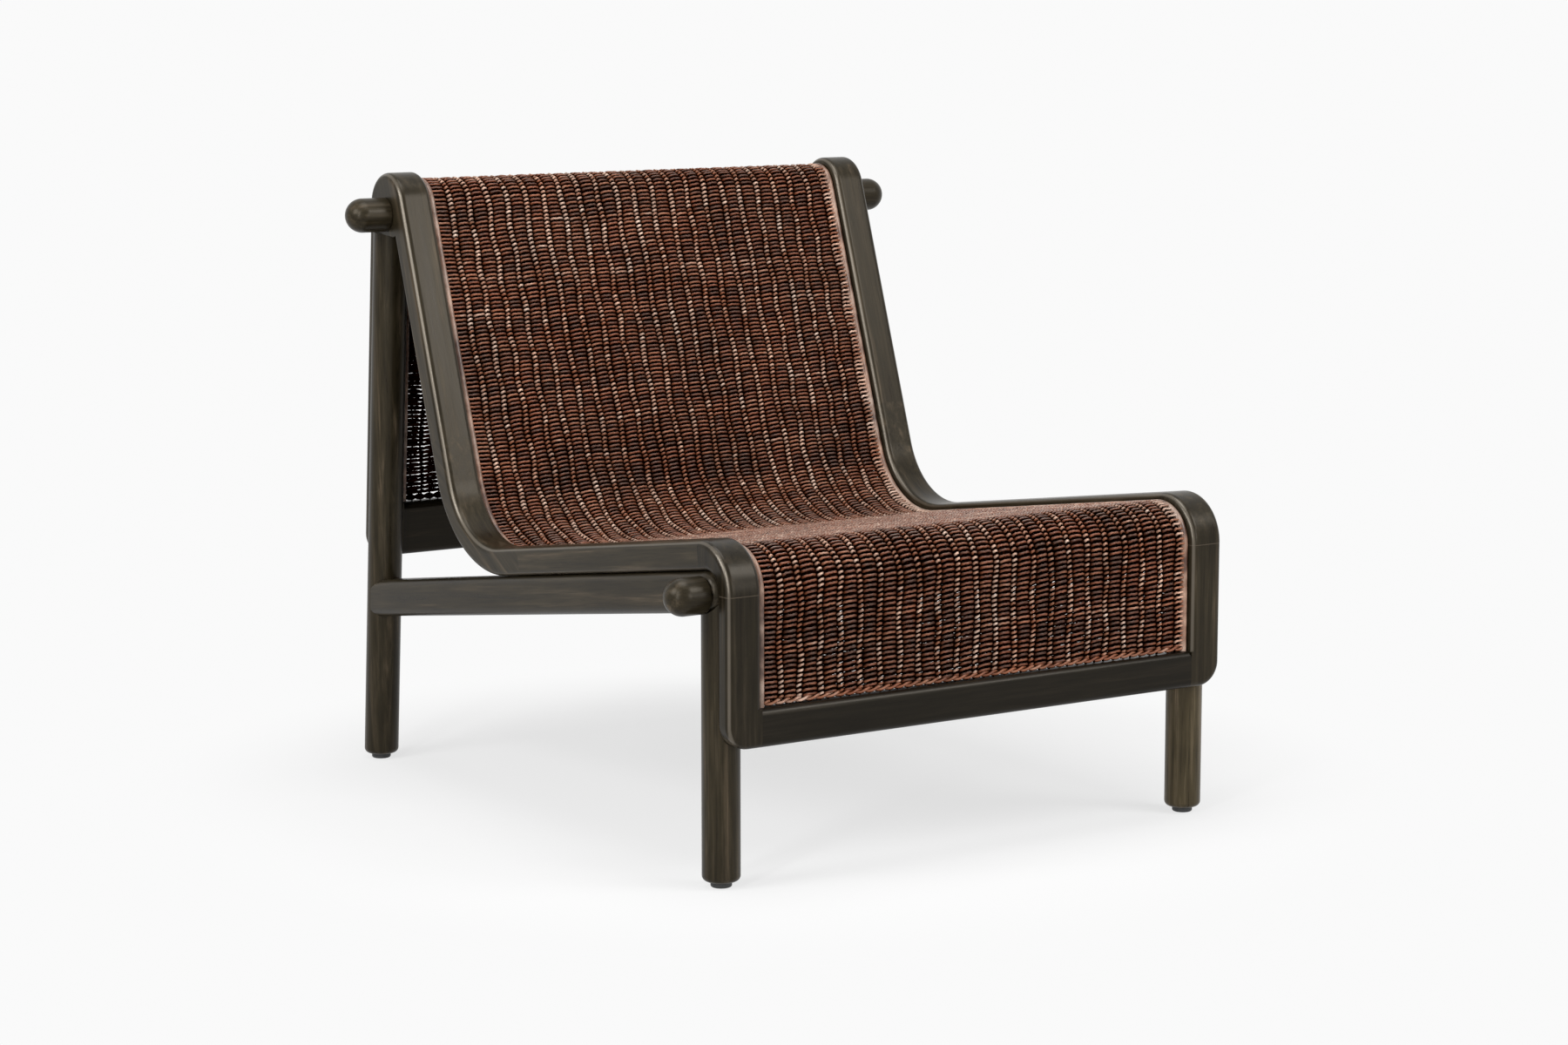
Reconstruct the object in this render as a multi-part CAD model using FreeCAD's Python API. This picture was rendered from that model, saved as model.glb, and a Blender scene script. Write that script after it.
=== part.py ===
import FreeCAD, Part
import math
import os
from FreeCAD import Placement, Rotation, Vector

# Lounge chair: two bent wooden side frames, turned legs and cross bars, and a woven sling.
# Lengths in millimetres, angles in degrees. X runs across the chair, Y to the back, Z up.
# The side profile is drawn with Y = 0 on the front legs' axis, and all pieces move to the origin last.

# Stance
rail_spacing = 678.0
leg_offset = 4.0
seat_height = 404.5
seat_depth = 621.0
back_height = 465.6
seat_slope = 8.7
back_recline = 18.8
rear_rake = 4.15

# Side rails
rail_width = 46.0
rail_thickness = 35.0
drop_thickness = 25.0
rail_edge_radius = 8.0
seat_bend_radius = 105.0
seat_bend_outer_radius = 155.0
seat_bend_straight = 57.0
top_radius = 43.5

# Legs and glides
leg_diameter = 45.0
leg_foot_radius = 7.0
front_lap_depth = 2.0
rear_lap_share = 0.5
glide_height = 7.0
glide_diameter = 25.0
glide_edge_radius = 2.5
glide_pin_diameter = 4.0
glide_pin_length = 26.0
glide_pin_head_gap = 2.5

# Stretchers
stretcher_height = 48.0
stretcher_edge_radius = 12.0
nest_gap = 0.5

# Bottom rails and the round lower corners of the drops
front_rail_underside_height = 166.5
front_rail_height = 45.0
rear_rail_underside_height = 275.0
rear_rail_height = 70.0
drop_corner_radius = 30.0

# Cross bars and knobs: the front bar shows a knob on the left only
bar_diameter = 44.0
front_bar_drop = 2.5
top_bar_drop = 10.0
head_shoulder_drop = 36.0
tenon_diameter = 24.0
tenon_reach = 28.0
front_knob_reach = 48.5
top_knob_reach = 55.0
knob_edge_radius = 1.5

# Woven sling and its edge rods
sling_recess = 8.0
sling_thickness = 8.0
edge_rod_diameter = 9.0
edge_pin_diameter = 3.0
edge_pin_length = 16.0
edge_pins_per_run = 3

# Hidden dowels
rail_dowel_diameter = 10.0
rail_dowel_length = 44.0
stretcher_dowel_diameter = 12.0
stretcher_dowel_length = 60.0
leg_dowel_diameter = 10.0
leg_dowel_length = 40.0
leg_dowel_reach = 7.0
lap_dowel_diameter = 8.0
lap_dowel_length = 24.0
dowel_place_share = 0.18
bottom_dowel_shares = (0.25, 0.75)
front_lap_shares = (0.35, 0.75)
rear_lap_shares = (0.2, 0.5, 0.8)
seat_dowel_shares = (0.15, 0.5, 0.85)
half_disc_share = 4 / (3 * math.pi)

# Clearances
soft_gap = 0.3
fit_gap = 0.3
dowel_gap = 0.1
dowel_end_gap = 0.6
overrun = 20.0
match_tolerance = 0.01

# Values that follow from the sizes above
rail_x = rail_spacing / 2
leg_x = rail_x + leg_offset
leg_radius = leg_diameter / 2
rail_inner_x = rail_x - rail_width / 2
rail_outer_x = rail_x + rail_width / 2
leg_inner_x = leg_x - leg_radius
leg_outer_x = leg_x + leg_radius
rod_x = rail_inner_x - soft_gap - edge_rod_diameter / 2
nose_radius = stretcher_height / 2
drop_back = front_lap_depth - leg_radius
front_face = drop_back - drop_thickness
sling_middle = sling_recess + sling_thickness / 2
front_rail_top = front_rail_underside_height + front_rail_height


def heading(angle):
    """Unit vector in the side plane, turned up from the rearward direction."""
    return Vector(0, math.cos(math.radians(angle)), math.sin(math.radians(angle)))


def at(y, z):
    return Vector(0, y, z)


def meet(point, direction, other, other_direction):
    """Point where two lines of the side plane cross."""
    gap = other - point
    turn = direction.y * other_direction.z - direction.z * other_direction.y
    reach = (gap.y * other_direction.z - gap.z * other_direction.y) / turn
    return point + direction * reach


# Directions of the profile: along the seat, up the back and down the rear, with their outward normals
across = Vector(1, 0, 0)
seat_way = heading(-seat_slope)
seat_up = heading(90 - seat_slope)
back_way = heading(90 - back_recline)
back_out = heading(180 - back_recline)
rear_way = heading(rear_rake - 90)
rear_out = heading(rear_rake)
front_out = at(-1, 0)
vertical = at(0, 1)

# Seat line, and the back line that meets it at the seat's depth
seat_start = at(0, seat_height)
seat_corner = meet(seat_start, seat_way, at(front_face + seat_depth, 0), vertical)
seat_front_corner = meet(seat_start, seat_way, at(front_face, 0), vertical)

# The stretcher's round nose nests in the front bend, and the front bar runs through it a little lower
nest_radius = nose_radius + nest_gap
nest_line = seat_start - seat_up * (rail_thickness + nest_radius)
nose = meet(nest_line, seat_way, at(drop_back + nest_radius, 0), vertical)
front_bar = nose - vertical * front_bar_drop

# Front bend: its round ends on the level of the nose
front_tangent = seat_front_corner.z - nose.z
front_bend_radius = front_tangent / math.tan(math.radians((90 + seat_slope) / 2))
front_bend_centre = at(front_face + front_bend_radius, nose.z)

# Seat bend
seat_turn = 90 - back_recline + seat_slope
seat_tangent = seat_bend_radius * math.tan(math.radians(seat_turn / 2))
seat_bend_centre = seat_corner - seat_way * seat_tangent + seat_up * seat_bend_radius

# Underside of the seat bend, on its own larger radius
under_seat = seat_corner - seat_up * rail_thickness
behind_back = seat_corner - back_out * rail_thickness
outer_corner = meet(under_seat, seat_way, behind_back, back_way)
outer_tangent = seat_bend_outer_radius * math.tan(math.radians(seat_turn / 2))
outer_centre = outer_corner - seat_way * outer_tangent + seat_up * seat_bend_outer_radius

# Top arch, tangent to the back line and as high as the back
total_height = seat_corner.z + back_height
top_centre = meet(seat_corner - back_out * top_radius, back_way, at(0, total_height - top_radius), at(1, 0))
top_bar = top_centre - vertical * top_bar_drop
rear_line = top_centre + rear_out * top_radius

# Head shoulder: square to the rear line, where the rear leg and the rear drop end
shoulder_middle = top_centre + rear_way * head_shoulder_drop
shoulder_rear = meet(rear_line, rear_way, shoulder_middle, rear_out)
shoulder_front = meet(behind_back, back_way, shoulder_middle, rear_out)
head_seam = shoulder_front + back_out * rail_thickness

# Rear leg axis, parallel to the rear line
rear_axis = rear_line - rear_out * (drop_thickness + leg_radius - leg_diameter * rear_lap_share)
rear_foot = meet(rear_axis, rear_way, at(0, 0), at(1, 0))
rear_drop_foot = meet(rear_line, rear_way, at(0, rear_rail_underside_height), at(1, 0))
rear_drop_length = (shoulder_rear - rear_drop_foot).Length
front_drop_length = nose.z - front_rail_underside_height
stretcher_rear = meet(nose, seat_way, rear_axis, rear_way)


def closed_face(start, steps):
    """Face in the side plane from straight steps (a point) and arcs (a middle and an end)."""
    edges = []
    here = start
    for step in steps:
        if isinstance(step, tuple):
            edges.append(Part.Arc(here, step[0], step[1]).toShape())
            here = step[1]
        else:
            edges.append(Part.LineSegment(here, step).toShape())
            here = step
    return Part.Face(Part.Wire(edges))


def slab(face, low_x, high_x):
    """Side-plane face given its width across the chair."""
    solid = face.extrude(across * (high_x - low_x))
    solid.translate(across * low_x)
    return solid


def round_edges(solid, radius, seams):
    """Round the side edges of a slab, leaving the edges that lie on a seam sharp."""
    chosen = []
    for edge in solid.Edges:
        ends = [vertex.Point for vertex in edge.Vertexes]
        if abs(ends[0].x - ends[-1].x) > match_tolerance:
            continue
        on_seam = False
        for point, way in seams:
            if all(abs((end - point).dot(way)) < match_tolerance for end in ends):
                on_seam = True
        if not on_seam:
            chosen.append(edge)
    return solid.makeFillet(radius, chosen)


def arc_between(centre, radius, first, last):
    """Middle and end of an arc about a centre, from one direction to another."""
    half = (first + last).normalize()
    return (centre + half * radius, centre + last * radius)


def rod(start, way, length, diameter):
    return Part.makeCylinder(diameter / 2, length, start, way)


def mirrored(shape):
    return shape.mirror(Vector(0, 0, 0), across)


class Dowels:
    """Blind dowels of one kind, with the holes that they need."""

    def __init__(self, diameter):
        self.diameter = diameter
        self.pins = []
        self.holes = []

    def add(self, middle, way, before, after):
        length = before + after
        start = middle - way * before
        self.pins.append(rod(start, way, length, self.diameter))
        hole_start = start - way * dowel_end_gap
        hole_length = length + 2 * dowel_end_gap
        self.holes.append(rod(hole_start, way, hole_length, self.diameter + 2 * dowel_gap))

    def drill(self, solid):
        return solid.cut(Part.makeCompound(self.holes)) if self.holes else solid

    def both_sides(self):
        return Part.makeCompound(self.pins + [mirrored(pin) for pin in self.pins])


# Right side: dowels at the seams of the rail, in the bottom rails, at the legs and in the laps
rail_dowels = Dowels(rail_dowel_diameter)
bottom_dowels = Dowels(rail_dowel_diameter)
stretcher_dowels = Dowels(stretcher_dowel_diameter)
leg_dowels = Dowels(leg_dowel_diameter)
lap_dowels = Dowels(lap_dowel_diameter)
edge_pins = Dowels(edge_pin_diameter)

front_seam = (at(front_face, nose.z), vertical)
bend_seam = (seat_front_corner + seat_way * front_tangent, seat_way)
seat_seam = (seat_corner - seat_way * (seat_tangent + seat_bend_straight), seat_way)
back_seam = (seat_corner + back_way * (seat_tangent + seat_bend_straight), back_way)
head_back_seam = (head_seam, back_way)
head_rear_seam = (shoulder_rear, rear_way)

seam_middles = (
    (front_seam[0] - front_out * (drop_thickness / 2), vertical),
    (bend_seam[0] - seat_up * (rail_thickness / 2), seat_way),
    (seat_seam[0] - seat_up * (rail_thickness / 2), seat_way),
    (back_seam[0] - back_out * (rail_thickness / 2), back_way),
    (head_back_seam[0] - back_out * (rail_thickness / 2), back_way),
    (head_rear_seam[0] - rear_out * (drop_thickness / 2), rear_way),
)
for middle, way in seam_middles:
    for side in (-1, 1):
        place = middle + across * (rail_x + side * dowel_place_share * rail_width)
        rail_dowels.add(place, way, rail_dowel_length / 2, rail_dowel_length / 2)

front_rail_middle = at(front_face + drop_thickness / 2, front_rail_underside_height)
rear_rail_middle = rear_drop_foot - rear_out * (drop_thickness / 2)
bottom_rails = (
    (front_rail_middle, vertical, front_rail_height),
    (rear_rail_middle, -rear_way, rear_rail_height),
)
for middle, way, height in bottom_rails:
    for share in bottom_dowel_shares:
        place = middle + way * (height * share) + across * rail_inner_x
        bottom_dowels.add(place, across, rail_dowel_length / 2, rail_dowel_length / 2)

stretcher_dowels.add(stretcher_rear + across * leg_x, -seat_way, 0, stretcher_dowel_length)

front_leg_top = nose - vertical * nose_radius
leg_dowels.add(front_leg_top + across * leg_x, vertical, leg_dowel_length - leg_dowel_reach, leg_dowel_reach)
half_round_middle = leg_radius * half_disc_share
rear_leg_top = meet(rear_axis, rear_way, shoulder_middle, rear_out) - rear_out * half_round_middle
leg_dowels.add(rear_leg_top + across * leg_x, -rear_way, leg_dowel_length - leg_dowel_reach, leg_dowel_reach)

for share in front_lap_shares:
    place = at(drop_back, front_rail_underside_height + share * front_drop_length)
    lap_dowels.add(place + across * leg_x, at(1, 0), lap_dowel_length / 2, lap_dowel_length / 2)
rear_lap = meet(rear_line - rear_out * drop_thickness, rear_way, rear_drop_foot, rear_out)
for share in rear_lap_shares:
    place = rear_lap - rear_way * (share * rear_drop_length)
    lap_dowels.add(place + across * leg_x, -rear_out, lap_dowel_length / 2, lap_dowel_length / 2)
seat_rail_length = (seat_seam[0] - bend_seam[0]).Length
for share in seat_dowel_shares:
    place = bend_seam[0] + seat_way * (share * seat_rail_length) - seat_up * rail_thickness
    lap_dowels.add(place + across * rail_x, -seat_up, lap_dowel_length / 2, lap_dowel_length / 2)

dowel_sets = (rail_dowels, bottom_dowels, stretcher_dowels, leg_dowels, lap_dowels)


def rail_piece(face, seams):
    """Rail piece of the right side, rounded along its sides."""
    return round_edges(slab(face, rail_inner_x, rail_outer_x), rail_edge_radius, seams)


def straight_rail(first, last):
    """Straight rail between two seams that share one direction."""
    outward = across.cross(first[1])
    depth = outward * -rail_thickness
    face = closed_face(first[0], (last[0], last[0] + depth, first[0] + depth, first[0]))
    return rail_piece(face, (first, last))


def front_bend():
    inner_end = bend_seam[0] - seat_up * rail_thickness
    nest_start = nose + seat_up * nest_radius
    steps = (
        arc_between(front_bend_centre, front_bend_radius, front_out, seat_up),
        inner_end,
        nest_start,
        arc_between(nose, nest_radius, seat_up, front_out),
        front_seam[0],
    )
    return rail_piece(closed_face(front_seam[0], steps), (front_seam, bend_seam))


def seat_bend():
    steps = (
        seat_bend_centre - seat_up * seat_bend_radius,
        arc_between(seat_bend_centre, seat_bend_radius, -seat_up, -back_out),
        back_seam[0],
        back_seam[0] - back_out * rail_thickness,
        outer_centre - back_out * seat_bend_outer_radius,
        arc_between(outer_centre, seat_bend_outer_radius, -back_out, -seat_up),
        seat_seam[0] - seat_up * rail_thickness,
        seat_seam[0],
    )
    return rail_piece(closed_face(seat_seam[0], steps), (seat_seam, back_seam))


def top_bend():
    """Head of the side frame: the arch, closed down to the shoulder and bored for the top bar."""
    steps = (
        top_centre + back_out * top_radius,
        arc_between(top_centre, top_radius, back_out, rear_out),
        shoulder_rear,
        shoulder_front,
        head_seam,
    )
    solid = rail_piece(closed_face(head_seam, steps), (head_back_seam, head_rear_seam))
    bore = rod(top_bar + across * (rail_inner_x - overrun), across, rail_width + 2 * overrun, tenon_bore)
    return solid.cut(bore)


tenon_bore = tenon_diameter + 2 * dowel_gap


def drop_blank(length, rail_height):
    """Drop of the right side in its own frame: outer face on Y = 0, foot on Z = 0, corner rounded."""
    low = Part.makeBox(rail_width, drop_thickness, rail_height, across * rail_inner_x)
    corner = [edge for edge in low.Edges if is_outer_foot(edge)]
    low = low.makeFillet(drop_corner_radius, corner)
    high = Part.makeBox(rail_width, drop_thickness, length - rail_height,
                        across * rail_inner_x + vertical * rail_height)
    return low, high


def is_outer_foot(edge):
    ends = [vertex.Point for vertex in edge.Vertexes]
    return all(abs(end.z) < match_tolerance and abs(end.x - rail_outer_x) < match_tolerance for end in ends)


def on_face(edge, normal, distance):
    return all(abs(vertex.Point.dot(normal) - distance) < match_tolerance for vertex in edge.Vertexes)


def drop_piece(length, rail_height):
    """Drop with rounded edges, left square where the bottom rail meets it flush."""
    low, high = drop_blank(length, rail_height)
    low_edges = []
    for edge in low.Edges:
        flat = on_face(edge, at(1, 0), 0) or on_face(edge, at(1, 0), drop_thickness)
        if flat and not on_face(edge, across, rail_inner_x) and not on_face(edge, vertical, rail_height):
            low_edges.append(edge)
    upright = [edge for edge in high.Edges if edge.BoundBox.ZLength > match_tolerance]
    low = low.makeFillet(rail_edge_radius, low_edges)
    high = high.makeFillet(rail_edge_radius, upright)
    return low.fuse(high).removeSplitter()


def lap_blank(length, rail_height):
    """Space that a drop takes out of the leg behind it."""
    low, high = drop_blank(length, rail_height)
    return low.fuse(high).removeSplitter()


def place_front(solid):
    solid = solid.copy()
    solid.translate(at(front_face, front_rail_underside_height))
    return solid


def place_rear(solid):
    """Turn a piece drawn for the front to face the rear, and lean it by the rake."""
    solid = solid.mirror(Vector(0, 0, 0), at(1, 0))
    solid.rotate(Vector(0, 0, 0), across, rear_rake)
    solid.translate(rear_drop_foot)
    return solid



def bottom_rail(height):
    """Rail between two drops, in the drops' own frame."""
    width = 2 * rail_inner_x
    solid = Part.makeBox(width, drop_thickness, height, across * -rail_inner_x)
    long_edges = [edge for edge in solid.Edges if edge.BoundBox.XLength > match_tolerance]
    return solid.makeFillet(rail_edge_radius, long_edges)


def stretcher_face(growth):
    """Side outline of the stretcher, with its round nose."""
    half = nose_radius + growth
    rear = stretcher_rear + seat_way * leg_diameter
    steps = (
        rear + seat_up * half,
        rear - seat_up * half,
        nose - seat_up * half,
        (nose - seat_way * half, nose + seat_up * half),
    )
    return closed_face(nose + seat_up * half, steps)


def leg_space(point, way, radius):
    """Long cylinder of a leg, used to cope and to trim."""
    length = 2 * total_height
    return Part.makeCylinder(radius, length, point - way * (length / 2) + across * leg_x, way)


def stretcher(bore_end_x):
    """Rounded bar, coped over the rear leg, its nose bored for the front bar's tenon."""
    rear = (stretcher_rear + seat_way * leg_diameter, seat_way)
    solid = round_edges(slab(stretcher_face(0), leg_inner_x, leg_outer_x), stretcher_edge_radius, (rear,))
    behind = slab(closed_face(stretcher_rear - rear_way * leg_diameter, (
        stretcher_rear + rear_way * leg_diameter,
        stretcher_rear + rear_way * leg_diameter + seat_way * (2 * leg_diameter),
        stretcher_rear - rear_way * leg_diameter + seat_way * (2 * leg_diameter),
        stretcher_rear - rear_way * leg_diameter)), leg_inner_x - overrun, leg_outer_x + overrun)
    solid = solid.cut(behind).cut(leg_space(rear_axis, rear_way, leg_radius + fit_gap))
    bore_start_x = leg_inner_x - overrun
    bore = rod(front_bar + across * bore_start_x, across, bore_end_x - bore_start_x, tenon_bore)
    return drilled(solid.cut(bore), leg_dowels, lap_dowels, stretcher_dowels)


def foot_cut(solid, foot):
    """Round the foot of a leg and drill it for the glide's pin."""
    edges = [edge for edge in solid.Edges if on_face(edge, vertical, glide_height) and edge.Closed]
    solid = solid.makeFillet(leg_foot_radius, edges)
    depth = glide_pin_length + dowel_end_gap
    return solid.cut(rod(foot + across * leg_x, vertical, depth, glide_pin_diameter + 2 * dowel_gap))


def floor_space():
    """Everything below the foot of a leg."""
    reach = 2 * total_height
    return Part.makeBox(2 * reach, 2 * reach, reach, Vector(-reach, -reach, glide_height - reach))


front_foot = at(0, 0)


def front_leg():
    top = nose.z - nose_radius / 2
    foot = Vector(leg_x, 0, glide_height)
    solid = Part.makeCylinder(leg_radius, top - glide_height, foot, vertical)
    solid = foot_cut(solid, front_foot)
    solid = solid.cut(place_front(lap_blank(front_drop_length, front_rail_height)))
    return solid.cut(slab(stretcher_face(fit_gap), leg_inner_x - overrun, leg_outer_x + overrun))


def rear_leg():
    top = meet(rear_axis, rear_way, shoulder_middle, rear_out)
    start = rear_foot + rear_way * leg_diameter
    solid = Part.makeCylinder(leg_radius, (top - start).Length, start + across * leg_x, -rear_way)
    solid = foot_cut(solid.cut(floor_space()), rear_foot)
    return solid.cut(place_rear(lap_blank(rear_drop_length, rear_rail_height)))


def glide(foot):
    """Turned glide with a recess on top for the head of its pin."""
    centre = foot + across * leg_x
    solid = Part.makeCylinder(glide_diameter / 2, glide_height, centre, vertical)
    lower = [edge for edge in solid.Edges if edge.Closed and on_face(edge, vertical, 0)]
    solid = solid.makeFillet(glide_edge_radius, lower)
    hole = rod(centre + vertical * (glide_pin_head_gap - dowel_end_gap), vertical, glide_height,
               glide_pin_diameter + 2 * dowel_gap)
    return solid.cut(hole)


def glide_pin(foot):
    length = glide_pin_length - glide_pin_head_gap
    return rod(foot + Vector(leg_x, 0, glide_pin_head_gap), vertical, length, glide_pin_diameter)


def knob(axis, root_x, reach):
    """Round-ended knob over the end of a cross bar's tenon."""
    radius = bar_diameter / 2
    ball_x = root_x + reach - radius
    solid = Part.makeCylinder(radius, ball_x - root_x, axis + across * root_x, across)
    root = [edge for edge in solid.Edges if edge.Closed and on_face(edge, across, root_x)]
    solid = solid.makeFillet(knob_edge_radius, root)
    ball = Part.makeSphere(radius, axis + across * ball_x, across, 0, 90, 360)
    solid = solid.fuse(ball).removeSplitter()
    socket = rod(axis + across * root_x, across, tenon_reach + dowel_end_gap, tenon_bore)
    return solid.cut(socket)


def cross_bar(axis, face_x, left_x, right_x):
    """Bar between the side frames, with a tenon at each end."""
    middle = rod(axis - across * (face_x - fit_gap), across, 2 * (face_x - fit_gap), bar_diameter)
    tenons = rod(axis - across * left_x, across, left_x + right_x, tenon_diameter)
    return middle.fuse(tenons).removeSplitter()


def sling_steps(depth):
    """Side profile of the sling at a depth below the rails' outer face, from front foot to rear foot."""
    front_foot_point = at(front_face + depth, front_rail_top + soft_gap)
    rear_low = rear_drop_foot - rear_way * (rear_rail_height + soft_gap) - rear_out * depth
    front = front_bend_radius - depth
    seat = seat_bend_radius + depth
    top = top_radius - depth
    return front_foot_point, (
        front_bend_centre + front_out * front,
        arc_between(front_bend_centre, front, front_out, seat_up),
        seat_bend_centre - seat_up * seat,
        arc_between(seat_bend_centre, seat, -seat_up, -back_out),
        top_centre + back_out * top,
        arc_between(top_centre, top, back_out, rear_out),
        rear_low,
    )


def step_end(step):
    return step[1] if isinstance(step, tuple) else step


def reversed_steps(start, steps):
    """The same profile walked from its far end back to its start."""
    points = [start] + [step_end(step) for step in steps]
    back = []
    for index in range(len(steps) - 1, -1, -1):
        target = points[index]
        step = steps[index]
        back.append((step[0], target) if isinstance(step, tuple) else target)
    return tuple(back)


def woven_sling():
    start, outer = sling_steps(sling_recess)
    inner_start, inner = sling_steps(sling_recess + sling_thickness)
    steps = outer + (step_end(inner[-1]),) + reversed_steps(inner_start, inner) + (start,)
    half = rod_x - edge_rod_diameter / 2 - soft_gap
    return slab(closed_face(start, steps), -half, half)


def edge_rod():
    """Round rod along the whole edge of the sling, on the inner side of the right rail."""
    start, steps = sling_steps(sling_middle)
    edges = []
    here = start
    for step in steps:
        if isinstance(step, tuple):
            edges.append(Part.Arc(here, step[0], step[1]).toShape())
        else:
            edges.append(Part.LineSegment(here, step).toShape())
        here = step_end(step)
    path = Part.Wire(edges)
    section = Part.Wire(Part.makeCircle(edge_rod_diameter / 2, start, vertical))
    solid = path.makePipeShell([section], True, False)
    solid.translate(across * rod_x)
    return solid


def straight_runs():
    """Straight stretches of the edge rod: start, direction and length."""
    start, steps = sling_steps(sling_middle)
    runs = []
    here = start
    for step in steps:
        end = step_end(step)
        if not isinstance(step, tuple):
            runs.append((here, (end - here).normalize(), (end - here).Length))
        here = end
    return runs


for start, way, length in straight_runs():
    for index in range(edge_pins_per_run):
        along = length * (2 * index + 1) / (2 * edge_pins_per_run)
        place = start + way * along + across * rail_inner_x
        inside = edge_rod_diameter + soft_gap
        edge_pins.add(place, across, inside, edge_pin_length - inside)


def drilled(solid, *sets):
    for dowels in sets:
        solid = dowels.drill(solid)
    return solid


# Pieces that come in pairs, modelled on the right and mirrored to the left
right_pieces = {
    "front_leg": drilled(front_leg(), leg_dowels, lap_dowels),
    "rear_leg": drilled(rear_leg(), leg_dowels, lap_dowels, stretcher_dowels),
    "front_drop": drilled(place_front(drop_piece(front_drop_length, front_rail_height)),
                          rail_dowels, bottom_dowels, lap_dowels, edge_pins),
    "front_bend": drilled(front_bend(), rail_dowels, edge_pins),
    "seat_rail": drilled(straight_rail(bend_seam, seat_seam), rail_dowels, lap_dowels, edge_pins),
    "seat_bend": drilled(seat_bend(), rail_dowels, edge_pins),
    "back_rail": drilled(straight_rail(back_seam, head_back_seam), rail_dowels, edge_pins),
    "top_bend": drilled(top_bend(), rail_dowels, leg_dowels, edge_pins),
    "rear_drop": drilled(place_rear(drop_piece(rear_drop_length, rear_rail_height)),
                         rail_dowels, bottom_dowels, lap_dowels, edge_pins),
    "top_knob": knob(top_bar, rail_outer_x, top_knob_reach),
    "edge_rod": drilled(edge_rod(), edge_pins),
    "front_glide": glide(front_foot),
    "rear_glide": glide(rear_foot),
}

left_bottom_holes = [mirrored(hole) for hole in bottom_dowels.holes]
bottom_holes = Part.makeCompound(bottom_dowels.holes + left_bottom_holes)
glide_pins = [glide_pin(front_foot), glide_pin(rear_foot)]

# The front bar runs through the left stretcher into its knob and ends blind in the right one
front_left_x = leg_outer_x + tenon_reach
front_right_x = leg_inner_x + tenon_reach
top_end_x = rail_outer_x + tenon_reach

# Pieces that cross the chair or differ from side to side, and the groups of dowels and pins
pieces = {
    "stretcher_left": mirrored(stretcher(leg_outer_x + overrun)),
    "stretcher_right": stretcher(front_right_x + dowel_end_gap),
    "front_knob_left": mirrored(knob(front_bar, leg_outer_x, front_knob_reach)),
    "front_bottom_rail": place_front(bottom_rail(front_rail_height)).cut(bottom_holes),
    "rear_bottom_rail": place_rear(bottom_rail(rear_rail_height)).cut(bottom_holes),
    "front_cross_bar": cross_bar(front_bar, leg_inner_x, front_left_x, front_right_x),
    "top_cross_bar": cross_bar(top_bar, rail_inner_x, top_end_x, top_end_x),
    "woven_sling": woven_sling(),
    "rail_dowels": rail_dowels.both_sides(),
    "bottom_rail_dowels": bottom_dowels.both_sides(),
    "stretcher_dowels": stretcher_dowels.both_sides(),
    "leg_dowels": leg_dowels.both_sides(),
    "lap_dowels": lap_dowels.both_sides(),
    "edge_pins": edge_pins.both_sides(),
    "glide_pins": Part.makeCompound(glide_pins + [mirrored(pin) for pin in glide_pins]),
}
for name, solid in right_pieces.items():
    pieces[name + "_right"] = solid
    pieces[name + "_left"] = mirrored(solid)

# The origin is on the floor, under the middle of the chair's length
rear_reach = right_pieces["rear_leg"].optimalBoundingBox().YMax
to_origin = at(-(front_face + rear_reach) / 2, 0)

os.makedirs("parts", exist_ok=True)
for name, shape in pieces.items():
    shape.translate(to_origin)
    shape.exportStep("parts/" + name + ".step")
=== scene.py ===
import math
import random

import bpy
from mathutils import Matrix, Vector


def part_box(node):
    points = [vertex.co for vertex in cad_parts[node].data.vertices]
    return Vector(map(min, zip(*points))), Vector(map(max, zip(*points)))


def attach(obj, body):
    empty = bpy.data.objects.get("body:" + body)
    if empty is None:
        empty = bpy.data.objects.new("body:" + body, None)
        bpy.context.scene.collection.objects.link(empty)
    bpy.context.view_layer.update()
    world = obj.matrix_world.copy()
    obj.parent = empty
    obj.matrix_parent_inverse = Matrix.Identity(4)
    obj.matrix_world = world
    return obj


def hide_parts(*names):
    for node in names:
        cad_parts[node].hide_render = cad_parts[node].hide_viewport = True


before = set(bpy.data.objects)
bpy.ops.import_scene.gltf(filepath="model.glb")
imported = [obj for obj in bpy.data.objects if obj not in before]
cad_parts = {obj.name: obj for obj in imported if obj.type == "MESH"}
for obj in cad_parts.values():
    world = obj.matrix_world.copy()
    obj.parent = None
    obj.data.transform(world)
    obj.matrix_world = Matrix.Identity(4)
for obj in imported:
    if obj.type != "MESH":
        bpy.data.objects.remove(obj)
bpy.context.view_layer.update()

# Lengths are in metres and angles in degrees, apart from the camera's lens and sensor, in millimetres.

# Camera: its place is measured from the point on the floor under the front legs' middle
CAMERA_FROM_FRONT_LEGS = Vector((-2.5619, -3.44298, 1.04798))
CAMERA_PITCH = 8.677
CAMERA_YAW = 33.808
CAMERA_LENS = 84.095
CAMERA_SENSOR = 36.0

# Reading the sling's profile from its CAD mesh. The lean picks the lower of two points equally far back.
PLANE_TOLERANCE = 1e-5
LEVEL_TOLERANCE = 1e-4
POINT_DIGITS = 6
MATCH_DIGITS = 4
REAR_FOOT_LEAN = 0.01
PATH_STEP = 0.002
PATH_END_MARGIN = 0.001
NORMAL_SPAN = 2

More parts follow.
